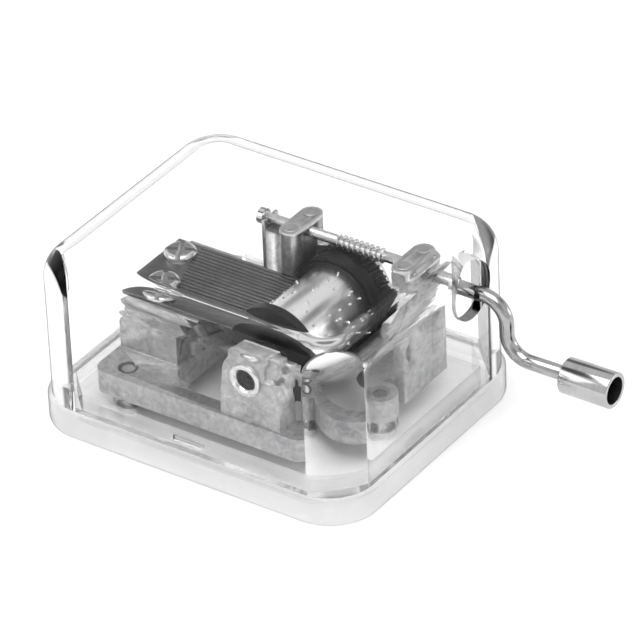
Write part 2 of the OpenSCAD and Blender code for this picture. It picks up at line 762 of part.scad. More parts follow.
module left_bearing_cap() { color([0.75, 0.75, 0.76]) bearing_cap(left_post_x); }
module right_bearing_cap() { color([0.75, 0.75, 0.76]) bearing_cap(right_post_x); }

module cap_rivets() {
    color([0.6, 0.6, 0.61]) for (x = [left_post_x, right_post_x], s = [-1, 1])
        translate([x, worm_y + s * column_dy, block_top]) {
            cylinder(r = rivet_r, h = cap_t + eps);
            translate([0, 0, cap_t]) soft_head(rivet_r + 0.25, rivet_h);
        }
}

// Forked strip that straddles the shaft and keeps it from sliding out
module retainer_fork() {
    gap = shaft_r + 0.15;
    color([0.7, 0.7, 0.71]) difference() {
        span([fork_x0, worm_y - fork_w / 2, fork_bottom], [post_back_x, worm_y + fork_w / 2, fork_top]);
        rod_x(fork_x0 - 1, worm_y, worm_z, gap, fork_t + 2);
        translate([fork_x0 - 1, worm_y - gap, worm_z]) cube([fork_t + 2, 2 * gap, 4]);
        rod_x(fork_x0 - 1, worm_y, fork_rivet_z, 0.6, fork_t + 2);
    }
}

module retainer_rivet() {
    color("silver") {
        rod_x(fork_x0 - eps, worm_y, fork_rivet_z, 0.6, fork_t + eps);
        translate([fork_x0, worm_y, fork_rivet_z]) rotate([0, -90, 0]) soft_head(1, 0.5);
    }
}

// ---- Crank ----

module crank_collar() {
    color("silver") difference() {
        rod_x(shaft_end_x - collar_t, worm_y, worm_z, collar_r, collar_t);
        rod_x(shaft_end_x - collar_t - 1, worm_y, worm_z, shaft_out_r, collar_t + 2);
    }
}

// Quarter bend of the wire: enters along +X at the origin and leaves along -Z
module wire_bend() {
    translate([0, 0, -bend_r]) rotate([90, 0, 0]) rotate_extrude(angle = 90)
        translate([bend_r, 0]) circle(wire_r);
}

module crank_arm() {
    drop = crank_throw - 2 * bend_r;
    upper_x = upright_x - bend_r;
    color([0.7, 0.7, 0.72]) difference() {
        translate([0, worm_y, 0]) {
            rod_x(crank_x0, 0, worm_z, wire_r, upper_x - crank_x0);
            translate([upper_x, 0, worm_z]) wire_bend();
            translate([upright_x, 0, worm_z - bend_r - drop]) cylinder(r = wire_r, h = drop);
            translate([upright_x + bend_r, 0, knob_z]) rotate([0, 180, 0]) mirror([0, 0, 1])
                wire_bend_up();
            rod_x(upright_x + bend_r, 0, knob_z, wire_r, crank_reach);
            rod_x(knob_x0 - eps, 0, knob_z, knob_pin_r, knob_web + 2 * end_clear + washer_t + eps);
        }
        rod_x(crank_x0 - 1, worm_y, worm_z, stud_r, stud_l + 1.2);
    }
}

// Quarter bend that turns from going down to going along X
module wire_bend_up() {
    translate([0, 0, bend_r]) rotate([90, 0, 0]) rotate([0, 0, -90]) rotate_extrude(angle = 90)
        translate([bend_r, 0]) circle(wire_r);
}

module crank_knob() {
    x0 = knob_x0 + end_clear;
    color([0.8, 0.8, 0.82]) difference() {
        rod_x(x0, worm_y, knob_z, knob_r, knob_len);
        rod_x(x0 - 1, worm_y, knob_z, knob_pin_r + run_clear, knob_len);
        rod_x(x0 + knob_web, worm_y, knob_z, knob_hollow_r, knob_len);
    }
}

module knob_washer() {
    x0 = knob_x0 + 2 * end_clear + knob_web;
    color("silver") difference() {
        rod_x(x0, worm_y, knob_z, washer_r, washer_t);
        rod_x(x0 - 1, worm_y, knob_z, knob_pin_r, washer_t + 2);
    }
}

case_cover();
case_base();
case_screws();
bedplate();
front_bush();
cylinder_sleeve();
cylinder_pins();
front_disc();
worm_wheel();
cylinder_arbor();
comb();
comb_screws();
comb_weights();
comb_dampers();
worm_shaft();
shaft_head();
left_bearing_cap();
right_bearing_cap();
cap_rivets();
retainer_fork();
retainer_rivet();
crank_collar();
crank_arm();
crank_knob();
knob_washer();
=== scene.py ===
import bmesh
import bpy
import json
from math import acos, atan2, cos, pi, radians, sin, sqrt, tan
from mathutils import Matrix, Vector


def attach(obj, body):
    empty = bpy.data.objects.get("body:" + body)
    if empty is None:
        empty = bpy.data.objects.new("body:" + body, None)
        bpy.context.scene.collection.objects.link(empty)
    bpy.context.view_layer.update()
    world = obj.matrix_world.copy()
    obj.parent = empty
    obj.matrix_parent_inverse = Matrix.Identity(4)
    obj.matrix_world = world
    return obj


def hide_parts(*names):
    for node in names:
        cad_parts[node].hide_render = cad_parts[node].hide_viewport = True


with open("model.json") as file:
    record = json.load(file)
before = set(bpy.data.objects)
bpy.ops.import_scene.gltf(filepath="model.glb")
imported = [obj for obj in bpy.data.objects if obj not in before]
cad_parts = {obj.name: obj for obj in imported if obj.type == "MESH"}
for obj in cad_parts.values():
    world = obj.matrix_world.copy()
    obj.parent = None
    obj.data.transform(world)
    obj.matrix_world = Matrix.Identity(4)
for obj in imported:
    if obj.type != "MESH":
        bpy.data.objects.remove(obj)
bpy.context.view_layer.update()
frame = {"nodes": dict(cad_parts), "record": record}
MM = 0.001

# ------------------------------------------------------------------ sizes, in millimetres

CASE_W, CASE_D, CASE_H = 64.0, 53.4, 33.7
WALL = 2.0
CORNER_R, TOP_R = 8.4, 5.5
INNER_R, INNER_TOP_R, CORNER_FLAT = 6.4, 3.5, 6.4
BASE_H, BASE_FLOOR, FLANGE, BASE_EDGE = 5.4, 2.0, 0.75, 0.9
LIP_H, LIP_T, LIP_GAP = 2.2, 1.3, 0.1
SEAT_GAP = 0.03
LATCH_W, LATCH_H, LATCH_OUT, LATCH_Z, LATCH_GAP = 6.0, 0.8, 0.35, 6.4, 0.1
HOLE_R = 5.3
PLATE_Z, PLATE_TOP = 4.0, 8.4
FEET = ((-20.4, -13.7), (19.1, 1.3), (-20.4, 13.9))
FOOT_R, FOOT_BORE, FOOT_HEAD_BORE, FOOT_HEAD_DEEP = 2.9, 1.3, 2.45, 1.45

CYL_X, CYL_Z = 6.6, 17.04
CYL_R, CYL_WALL, CYL_Y0, CYL_LEN = 6.45, 0.7, -8.2, 16.6
PIN_R, PIN_OUT = 0.22, 0.35
NOTES, NOTE_PITCH = 18, 0.9
PIN_SEAT = 0.4
ARBOR_DARK_Y = -13.6

WORM_Y, WORM_Z = 12.7, 26.0968
WORM_PITCH, WORM_TURNS, WORM_X0 = 1.08, 9, 4.98
WORM_TIP, WORM_ROOT, SHAFT_R, SHAFT_OUT_R = 1.34, 0.925, 0.95, 1.2
THREAD_HALF, THREAD_T = 0.19, 0.4
HEAD_X0, HEAD_X1, HEAD_R = -11.0, -9.9, 1.45
SHAFT_OUT_X, END_CLEAR = 22.55, 0.3
CRANK_X0, STUD_R, STUD_L = 28.6, 0.8, 3.4

WIRE_R, THROW, BEND_R = 1.3, 10.4, 4.4
UPRIGHT_X, REACH = 38.6, 7.0
KNOB_Z = WORM_Z - THROW
KNOB_X0 = UPRIGHT_X + BEND_R + REACH
KNOB_R, KNOB_LEN, KNOB_HOLLOW_R, KNOB_WEB = 3.2, 9.4, 2.35, 3.4
KNOB_PIN_R, RUN_CLEAR = 1.0, 0.04
WASHER_R, WASHER_T = 1.9, 0.5

# ------------------------------------------------------------------ node helpers


def tree_of(name):
    """A new material with an empty node tree and its output node."""
    mat = bpy.data.materials.new(name)
    mat.use_nodes = True
    nt = mat.node_tree
    nt.nodes.clear()
    return mat, nt, nt.nodes.new("ShaderNodeOutputMaterial")


def add(nt, kind, **inputs):
    """A node with some of its sockets set; a socket of another node is linked."""
    n = nt.nodes.new("ShaderNode" + kind)
    for key, value in inputs.items():
        key = key.replace("_", " ")
        if isinstance(value, bpy.types.NodeSocket):
            nt.links.new(value, n.inputs[key])
        else:
            n.inputs[key].default_value = value
    return n


def coords(nt):
    return nt.nodes.new("ShaderNodeTexCoord").outputs["Object"]


def stretched(nt, source, scale):
    return add(nt, "Mapping", Vector=source, Scale=scale).outputs["Vector"]


def noise(nt, vector, scale, detail=4.0, rough=0.55, distortion=0.0):
    return add(nt, "TexNoise", Vector=vector, Scale=scale, Detail=detail, Roughness=rough,
               Distortion=distortion).outputs["Fac"]


def ramp(nt, fac, stops):
    """Colour ramp: stops are (position, grey or colour)."""
    r = nt.nodes.new("ShaderNodeValToRGB")
    nt.links.new(fac, r.inputs["Fac"])
    band = r.color_ramp
    while len(band.elements) < len(stops):
        band.elements.new(0.5)
    for e, (p, c) in zip(band.elements, stops):
        e.position = p
        e.color = (c, c, c, 1) if not hasattr(c, "__len__") else (*c, 1)
    return r.outputs["Color"]


def mapped(nt, value, lo, hi, a=0.0, b=1.0):
    m = add(nt, "MapRange", Value=value)
    for key, v in (("From Min", a), ("From Max", b), ("To Min", lo), ("To Max", hi)):
        m.inputs[key].default_value = v
    return m.outputs["Result"]


def maths(nt, op, a, b=None):
    n = nt.nodes.new("ShaderNodeMath")
    n.operation = op
    for i, v in enumerate((a, b)):
        if v is None:
            continue
        if isinstance(v, bpy.types.NodeSocket):
            nt.links.new(v, n.inputs[i])
        else:
            n.inputs[i].default_value = v
    return n.outputs[0]


def bump(nt, height, strength, distance):
    return add(nt, "Bump", Height=height, Strength=strength, Distance=distance).outputs["Normal"]


# ------------------------------------------------------------------ materials


def metal(name, light, dark, rough, grain=(900, 900, 900), patch=260.0, bump_h=0.0, spread=0.12):
    """Metal whose colour and roughness drift in patches, with fine grain in its bump."""
    mat, nt, out = tree_of(name)
    p = coords(nt)
    drift = noise(nt, p, patch, 5.0, 0.6, 0.4)
    fine = noise(nt, stretched(nt, p, grain), 1.0, 6.0, 0.65)
    mixed = maths(nt, "ADD", maths(nt, "MULTIPLY", drift, 0.6), maths(nt, "MULTIPLY", fine, 0.4))
    colour = ramp(nt, mixed, ((0.32, dark), (0.68, light)))
    shader = add(nt, "BsdfPrincipled", Base_Color=colour, Metallic=1.0,
                 Roughness=mapped(nt, mixed, rough + spread / 2, rough - spread / 2, 0.3, 0.7))
    if bump_h:
        nt.links.new(bump(nt, fine, 0.5, bump_h), shader.inputs["Normal"])
    nt.links.new(shader.outputs[0], out.inputs["Surface"])
    return mat


def casting():
    """Zinc die casting: mottled satin grey with pits and pale flow marks."""
    mat, nt, out = tree_of("zinc_casting")
    p = coords(nt)
    flow = noise(nt, p, 760, 6.0, 0.66, 0.6)
    cloud = noise(nt, p, 130, 3.0, 0.5, 0.3)
    pits = noise(nt, p, 2400, 3.0, 0.7)
    mix = maths(nt, "ADD", maths(nt, "MULTIPLY", flow, 0.65), maths(nt, "MULTIPLY", cloud, 0.35))
    colour = ramp(nt, mix, ((0.33, (0.22, 0.22, 0.225)), (0.46, (0.34, 0.34, 0.345)),
                            (0.58, (0.44, 0.44, 0.44)), (0.70, (0.66, 0.66, 0.66))))
    height = maths(nt, "ADD", maths(nt, "MULTIPLY", flow, 0.7), maths(nt, "MULTIPLY", pits, 0.3))
    shader = add(nt, "BsdfPrincipled", Base_Color=colour, Metallic=0.85,
                 Roughness=mapped(nt, mix, 0.52, 0.30, 0.35, 0.68))
    nt.links.new(bump(nt, height, 0.55, 0.00008), shader.inputs["Normal"])
    nt.links.new(shader.outputs[0], out.inputs["Surface"])
    return mat


def clear_acrylic(name, straight):
    """Clear moulded acrylic, very faintly wavy, with painted shade where it is seen edge on. Lamps and
    soft light pass straight through it, and so does a share of what is seen through it, for thick walls."""
    mat, nt, out = tree_of(name)
    p = coords(nt)
    wave = noise(nt, p, 55, 2.0, 0.4)
    fine = noise(nt, p, 700, 3.0, 0.6)
    grazing = nt.nodes.new("ShaderNodeLayerWeight").outputs["Facing"]
    # painted edge shade: the glass colour darkens as the surface is seen more edge on
    edge_shade = ramp(nt, grazing, ((0.62, 1.0), (0.82, 0.80), (1.0, 0.40)))
    shader = add(nt, "BsdfPrincipled", Base_Color=edge_shade, IOR=1.49)
    shader.inputs["Transmission Weight"].default_value = 1.0
    shader.inputs["Specular Tint"].default_value = (0.12, 0.12, 0.12, 1)
    nt.links.new(mapped(nt, fine, 0.0, 0.03, 0.45, 0.8), shader.inputs["Roughness"])
    nt.links.new(bump(nt, wave, 0.06, 0.0006), shader.inputs["Normal"])
    # painted edge shade in the share that passes straight through, and in the shadows cast through it
    edge = ramp(nt, grazing, ((0.58, 0.995), (0.80, 0.62), (1.0, 0.12)))
    through = add(nt, "BsdfTransparent", Color=edge)
    path = nt.nodes.new("ShaderNodeLightPath")
    soft = maths(nt, "MAXIMUM", path.outputs["Is Shadow Ray"], path.outputs["Is Diffuse Ray"])
    # edge on, the darkened straight share takes over: painted dark edge lines
    soft = maths(nt, "MAXIMUM", soft, mapped(nt, grazing, straight, 0.9, 0.74, 0.93))
    mix = nt.nodes.new("ShaderNodeMixShader")
    nt.links.new(soft, mix.inputs[0])
    nt.links.new(shader.outputs[0], mix.inputs[1])
    nt.links.new(through.outputs[0], mix.inputs[2])
    nt.links.new(mix.outputs[0], out.inputs["Surface"])
    return mat


def plastic(name, colour, rough, gloss=0.5):
    """Moulded plastic: a fine texture and a slight drift of colour and gloss."""
    mat, nt, out = tree_of(name)
    p = coords(nt)
    fine = noise(nt, p, 1600, 4.0, 0.6)
    drift = noise(nt, p, 220, 3.0, 0.5)
    mixed = maths(nt, "ADD", maths(nt, "MULTIPLY", fine, 0.4), maths(nt, "MULTIPLY", drift, 0.6))
    low, high = (tuple(c * k for c in colour) for k in (0.7, 1.5))
    shade = ramp(nt, mixed, ((0.3, low), (0.7, high)))
    shader = add(nt, "BsdfPrincipled", Base_Color=shade, Roughness=mapped(nt, mixed, rough + 0.08,
                 rough - 0.08, 0.3, 0.7))
    shader.inputs["Specular IOR Level"].default_value = gloss
    nt.links.new(bump(nt, fine, 0.5, 0.00002), shader.inputs["Normal"])
    nt.links.new(shader.outputs[0], out.inputs["Surface"])
    return mat


def floor_paper():
    """White studio paper with a barely visible tooth."""
    mat, nt, out = tree_of("studio_paper")
    p = coords(nt)
    tooth = noise(nt, p, 900, 4.0, 0.6)
    shade = ramp(nt, tooth, ((0.3, 0.93), (0.7, 0.95)))
    shader = add(nt, "BsdfPrincipled", Base_Color=shade, Roughness=mapped(nt, tooth, 0.8, 0.95))
    shader.inputs["Specular IOR Level"].default_value = 0.1
    nt.links.new(shader.outputs[0], out.inputs["Surface"])
    return mat


THICK_STRAIGHT = 0.72  # share of what is seen that passes straight through the tray
MATS = {
    "clear_acrylic": clear_acrylic("clear_acrylic", 0.0),
    "clear_thick": clear_acrylic("clear_thick", THICK_STRAIGHT),
    "zinc_casting": casting(),
    "nickel": metal("nickel", 0.72, 0.48, 0.2, patch=500, bump_h=0.00002),
    "polished_cylinder": metal("polished_cylinder", 0.82, 0.70, 0.25, grain=(2500, 60, 2500), patch=200,
                               spread=0.06),
    "black_plastic": plastic("black_plastic", (0.004, 0.004, 0.004), 0.40, 0.3),
    "shaft_steel": metal("shaft_steel", 0.62, 0.42, 0.27, grain=(300, 2600, 2600), bump_h=0.00001),
    "comb_steel": metal("comb_steel", 0.20, 0.10, 0.36, grain=(90, 4200, 1500), patch=180,
                        bump_h=0.00001),
    "lead": metal("lead", 0.22, 0.13, 0.6, bump_h=0.00004),
    "damper_plastic": plastic("damper_plastic", (0.5, 0.49, 0.45), 0.6),
    "cap_steel": metal("cap_steel", 0.62, 0.44, 0.33, grain=(1500, 400, 1500), bump_h=0.00001),
    "chrome_wire": metal("chrome_wire", 0.44, 0.30, 0.12, grain=(300, 1500, 1500), patch=350,
                         bump_h=0.000003, spread=0.05),
    "chrome_knob": metal("chrome_knob", 0.50, 0.37, 0.13, grain=(3000, 200, 200), patch=260,
                         bump_h=0.000004, spread=0.06),
    # near-black matte steel: the arbor's front end, and painted shade inside the knob's hollow
    "dark_steel": metal("dark_steel", 0.06, 0.015, 0.6, grain=(1500, 1500, 1500), patch=900,
                        bump_h=0.00005),
}

# ------------------------------------------------------------------ mesh helpers

HOLD = 0.3  # width of the strip that keeps the shading of a flat face flat beside a rounded one


def piece(name, me, body, slot, *nodes, sharp=32.0):
    """A finished mesh in millimetres becomes a piece that rides on a body."""
    me.transform(Matrix.Scale(MM, 4))
    me.update()
    ob = bpy.data.objects.new(name, me)
    bpy.context.scene.collection.objects.link(ob)
    for poly in me.polygons:
        poly.use_smooth = True
    me.set_sharp_from_angle(angle=radians(sharp))
    me.materials.append(MATS[slot])
    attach(ob, body)
    if nodes:
        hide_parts(*nodes)
    return ob


def mesh_of(name, verts, faces):
    me = bpy.data.meshes.new(name)
    me.from_pydata([tuple(v) for v in verts], [], faces)
    me.validate()
    tidy(me)
    return me


def tidy(me, weld=1e-5):
    bm = bmesh.new()
    bm.from_mesh(me)
    bmesh.ops.remove_doubles(bm, verts=bm.verts, dist=weld)
    bmesh.ops.dissolve_degenerate(bm, edges=bm.edges, dist=weld)
    bmesh.ops.recalc_face_normals(bm, faces=bm.faces)
    bm.to_mesh(me)
    bm.free()


def rounded(points, r, steps=3):
    """A closed outline of (a, b) points with its corners rounded. A point may carry its own radius."""
    out = []
    n = len(points)
    for i in range(n):
        p = Vector(points[i][:2])
        rr = points[i][2] if len(points[i]) > 2 else r
        a, b = Vector(points[i - 1][:2]) - p, Vector(points[(i + 1) % n][:2]) - p
        if rr <= 0 or a.length < 1e-6 or b.length < 1e-6:
            out.append(p)
            continue
        half = acos(max(-1, min(1, a.normalized().dot(b.normalized())))) / 2
        if half > radians(85) or half < radians(3):
            out.append(p)
            continue
        cut = min(rr / tan(half), 0.45 * a.length, 0.45 * b.length)
        rr = cut * tan(half)
        centre = p + (a.normalized() + b.normalized()).normalized() * (rr / sin(half))
        p0, p1 = p + a.normalized() * cut, p + b.normalized() * cut
        a0 = atan2(p0.y - centre.y, p0.x - centre.x)
        turn = atan2(p1.y - centre.y, p1.x - centre.x) - a0
        turn = (turn + pi) % (2 * pi) - pi
        for k in range(steps + 1):
            t = a0 + turn * k / steps
            out.append(Vector((centre.x + rr * cos(t), centre.y + rr * sin(t))))
    return out


def lathe(name, outline, at, axis="X", n=96):
    """Turns a closed outline of (along, radius) round an axis through at. Points on the axis are poles."""
    verts, rows = [], []
    for a, r in outline:
        row = []
        for j in range(1 if r < 1e-6 else n):
            t = 2 * pi * j / n
            c, s = r * cos(t), r * sin(t)
            local = {"X": (a, c, s), "Y": (s, a, c), "Z": (c, s, a)}[axis]
            row.append(len(verts))
            verts.append(Vector(at) + Vector(local))
        rows.append(row)
    faces = []
    for i in range(len(rows)):
        p, q = rows[i], rows[(i + 1) % len(rows)]
        if len(p) == 1 and len(q) == 1:
            continue
        for j in range(n):
            k = (j + 1) % n
            quad = [p[j % len(p)], p[k % len(p)], q[k % len(q)], q[j % len(q)]]
            face = []
            for v in quad:
                if v not in face:
                    face.append(v)
            faces.append(face)
    return mesh_of(name, verts, faces)


def ring(w, d, r, z, n):
    """Points of a rounded rectangle at height z, n steps to a corner and one more on each side of it."""
    out = []
    for q, (sx, sy) in enumerate(((1, 1), (-1, 1), (-1, -1), (1, -1))):
        cx, cy = sx * (w / 2 - r), sy * (d / 2 - r)
        for k in range(-1, n + 2):
            t = pi / 2 * (q + min(max(k, 0), n) / n)
            along = HOLD * ((k > n) - (k < 0))
            out.append(Vector((cx + r * cos(t) - along * sin(t), cy + r * sin(t) + along * cos(t), z)))
    return out


def cavity_ring(inset, gap, z, n):
    """A ring inside the cover, inset from its cavity, cut by the corner flats kept gap away."""
    limit = (CASE_W + CASE_D) / 2 - 2 * WALL - CORNER_FLAT - sqrt(2) * gap
    out = ring(CASE_W - 2 * WALL - 2 * inset, CASE_D - 2 * WALL - 2 * inset, INNER_R - inset, z, n)
    for p in out:
        over = max(0.0, abs(p.x) + abs(p.y) - limit) / 2
        p.x -= over if p.x > 0 else -over
        p.y -= over if p.y > 0 else -over
    return out


def skin(name, rings, caps):
    """Joins rings of equal length in order, and closes the first and last ring where caps says so."""
    m = len(rings[0])
    verts = [v for r in rings for v in r]
    faces = []
    for i in range(len(rings) - 1):
        for j in range(m):
            k = (j + 1) % m
            faces.append([i * m + j, i * m + k, (i + 1) * m + k, (i + 1) * m + j])
    if caps[0]:
        faces.append(list(range(m))[::-1])
    if caps[1]:
        faces.append([(len(rings) - 1) * m + j for j in range(m)])
    return mesh_of(name, verts, faces)


def cut(ob_mesh, tool_mesh, operation="DIFFERENCE"):
    """Boolean of two meshes, applied."""
    a = bpy.data.objects.new("bool_a", ob_mesh)
    b = bpy.data.objects.new("bool_b", tool_mesh)
    for o in (a, b):
        bpy.context.scene.collection.objects.link(o)
    mod = a.modifiers.new("cut", "BOOLEAN")
    mod.operation, mod.object, mod.solver = operation, b, "EXACT"
    bpy.context.view_layer.update()
    me = bpy.data.meshes.new_from_object(a.evaluated_get(bpy.context.evaluated_depsgraph_get()))
    bpy.data.objects.remove(a)
    bpy.data.objects.remove(b)
    tidy(me)
    return me


def latch_box(side, y, grow):
    """Box of a latch on the front or back wall, or of its notch where it is grown by the gap."""
    w, out = LATCH_W / 2 + grow, LATCH_OUT + grow
    ends = [[Vector((x, side * y + dy, z)) for x, dy in ((-w, -out), (w, -out), (w, out), (-w, out))]
            for z in (LATCH_Z - grow, LATCH_Z + LATCH_H + grow)]
    return skin("latch", ends, (True, True))


def refined(node, width, spare=0.0, segments=2, angle=28.0, flat=0.6):
    """A copy of a CAD node with flat faces joined and sharp edges rounded, in millimetres. Where spare is
    given, only edges whose neighbours are that many times longer than the width are rounded, and those
    get the full width. Elsewhere the shortest edge limits it."""
    me = frame["nodes"][node].data.copy()
    me.transform(Matrix.Scale(1 / MM, 4))
    bm = bmesh.new()
    bm.from_mesh(me)
    bmesh.ops.remove_doubles(bm, verts=bm.verts, dist=1e-3)
    bmesh.ops.dissolve_limit(bm, angle_limit=radians(flat), verts=bm.verts, edges=bm.edges)
    bmesh.ops.dissolve_degenerate(bm, edges=bm.edges, dist=5e-3)
    edges = [e for e in bm.edges if len(e.link_faces) == 2 and e.calc_face_angle(0) > radians(angle)
             and all(o.calc_length() > spare * width for v in e.verts for o in v.link_edges)]
    bmesh.ops.bevel(bm, geom=edges, offset=width, offset_type="OFFSET", segments=segments, profile=0.5,
                    affect="EDGES", clamp_overlap=not spare, loop_slide=True, harden_normals=False)
    bmesh.ops.remove_doubles(bm, verts=bm.verts, dist=1e-4)
    bmesh.ops.recalc_face_normals(bm, faces=bm.faces)
    clean = bpy.data.meshes.new(node)
    bm.to_mesh(clean)
    bm.free()
    bpy.data.meshes.remove(me)
    return clean


# ------------------------------------------------------------------ camera, light, floor

VIEW_AZ, VIEW_EL, VIEW_ROLL = radians(36.26), radians(33.14), radians(2.59)
VIEW_DIST, LENS = 0.93628, 312.61
AIM_RIGHT, AIM_DOWN = 0.00785, 0.00283


def make_camera():
    """The photograph's long lens from the front right, turned a little to the right of the object."""
    away = Vector((sin(VIEW_AZ) * cos(VIEW_EL), -cos(VIEW_AZ) * cos(VIEW_EL), sin(VIEW_EL)))
    middle = Vector((0, 0, 0.020))

    def axes(back):
        right = Vector((0, 0, 1)).cross(back).normalized()
        up = back.cross(right)
        c, s = cos(VIEW_ROLL), sin(VIEW_ROLL)
        return right * c - up * s, up * c + right * s

    place = middle + away * VIEW_DIST
    right, up = axes(away)
    aim = middle + right * AIM_RIGHT - up * AIM_DOWN
    back = (place - aim).normalized()
    right, up = axes(back)
    cam = bpy.data.cameras.new("camera")
    cam.lens, cam.sensor_width = LENS, 36.0
    cam.clip_start, cam.clip_end = 0.01, 20
    ob = bpy.data.objects.new("camera", cam)
    ob.matrix_world = Matrix((
        (right.x, up.x, back.x, place.x), (right.y, up.y, back.y, place.y),
        (right.z, up.z, back.z, place.z), (0, 0, 0, 1)))
    bpy.context.scene.collection.objects.link(ob)
    bpy.context.scene.camera = ob


def softbox(name, towards, distance, size, power):
    """A square area light that shines at the object from one direction."""
    light = bpy.data.lights.new(name, "AREA")
    light.shape, light.size, light.size_y, light.energy = "RECTANGLE", size[0], size[1], power
    ob = bpy.data.objects.new(name, light)
    v = Vector(towards).normalized()
    ob.location = v * distance + Vector((0, 0, 0.015))
    ob.rotation_euler = v.to_track_quat("Z", "Y").to_euler()
    bpy.context.scene.collection.objects.link(ob)


# Sky: (direction, full angle, faded angle, brightness) of each soft patch, laid over a plain base
SKY_BASE = 0.95
SKY_PATCHES = (
    ((-0.495, 0.675, 0.547), 7, 15, 0.22),
    ((0.495, -0.675, 0.547), 10, 26, 0.50),
    ((-0.806, -0.591, 0.15), 8, 24, 0.45),
    ((0.45, 0.60, 0.66), 5, 14, 0.05),
    ((-0.495, -0.283, 0.821), 8, 15, 0.10),
)


def make_light():
    world = bpy.data.worlds.new("studio")
    world.use_nodes = True
    nt = world.node_tree
    nt.nodes.clear()
    direction = nt.nodes.new("ShaderNodeTexCoord").outputs["Generated"]
    level = None
    for towards, full, faded, value in SKY_PATCHES:
        dot = nt.nodes.new("ShaderNodeVectorMath")
        dot.operation = "DOT_PRODUCT"
        nt.links.new(direction, dot.inputs[0])
        dot.inputs[1].default_value = Vector(towards).normalized()
        m = add(nt, "MapRange", Value=dot.outputs["Value"])
        m.interpolation_type = "SMOOTHSTEP"
        for key, v in (("From Min", cos(radians(faded))), ("From Max", cos(radians(full))),
                       ("To Min", 1.0), ("To Max", value / SKY_BASE)):
            m.inputs[key].default_value = v
        patch = m.outputs["Result"]
        level = patch if level is None else maths(nt, "MULTIPLY", level, patch)
    back = add(nt, "Background", Color=(1, 1, 1, 1), Strength=maths(nt, "MULTIPLY", level, SKY_BASE))
    out = nt.nodes.new("ShaderNodeOutputWorld")
    nt.links.new(back.outputs[0], out.inputs["Surface"])
    bpy.context.scene.world = world
    softbox("overhead_box", (0.12, -0.35, 1.0), 0.6, (0.50, 0.50), 2.4)
    softbox("front_left_box", (-0.55, -0.60, 0.45), 0.6, (0.35, 0.35), 0.6)
    softbox("right_box", (0.80, 0.68, 0.15), 0.6, (0.25, 0.18), 0.35)


def make_floor():
    me = mesh_of("floor", [(-1500, -1500, 0), (1500, -1500, 0), (1500, 1500, 0), (-1500, 1500, 0)],
                 [[0, 1, 2, 3]])
    me.transform(Matrix.Scale(MM, 4))
    me.transform(Matrix.Translation((0, 0, -0.00002)))
    ob = bpy.data.objects.new("floor", me)
    me.materials.append(floor_paper())
    bpy.context.scene.collection.objects.link(ob)


make_camera()
make_light()
make_floor()
bpy.context.scene.view_settings.view_transform = "Standard"

# ------------------------------------------------------------------ clear case


def make_cover():
    """Rounded cover, 2 mm thick, from rings outside and inside, with the crank's hole cut in it."""
    n, arc = 24, 18

    def profile(h, e):
        """(inset, height) of each ring from the open rim up over the rounded top edge."""
        turns = [pi / 2 * k / arc for k in range(arc + 1)]
        curve = [(e * (1 - cos(t)), h - e + e * sin(t)) for t in turns]
        return [(0, BASE_H + SEAT_GAP), (0, h - e - HOLD)] + curve + [(e + HOLD, h)]

    outer = [ring(CASE_W - 2 * i, CASE_D - 2 * i, CORNER_R - i, z, n) for i, z in profile(CASE_H, TOP_R)]
    inner = [cavity_ring(i, 0, z, n) for i, z in profile(CASE_H - WALL, INNER_TOP_R)]
    me = skin("case_cover", outer[::-1] + inner, (True, True))
    reach = 2 * WALL
    hole = [(-reach, 0), (-reach, HOLE_R), (reach, HOLE_R), (reach, 0)]
    tool = lathe("hole", hole, (CASE_W / 2 - WALL / 2, WORM_Y, WORM_Z), "X", 96)
    me = cut(me, tool)
    for side in (-1, 1):
        me = cut(me, latch_box(side, CASE_D / 2 - WALL, LATCH_GAP))
    ob = piece("case_cover_clear", me, "case", "clear_acrylic", "case_cover", sharp=40)
    ob.data.materials.append(MATS["clear_thick"])
    for poly in ob.data.polygons:
        c = poly.center / MM
        r = sqrt((c.y - WORM_Y) ** 2 + (c.z - WORM_Z) ** 2)
        if c.x > 0 and abs(r - HOLE_R) < 0.3 and abs(poly.normal.x) < 0.3:
            poly.material_index = 1


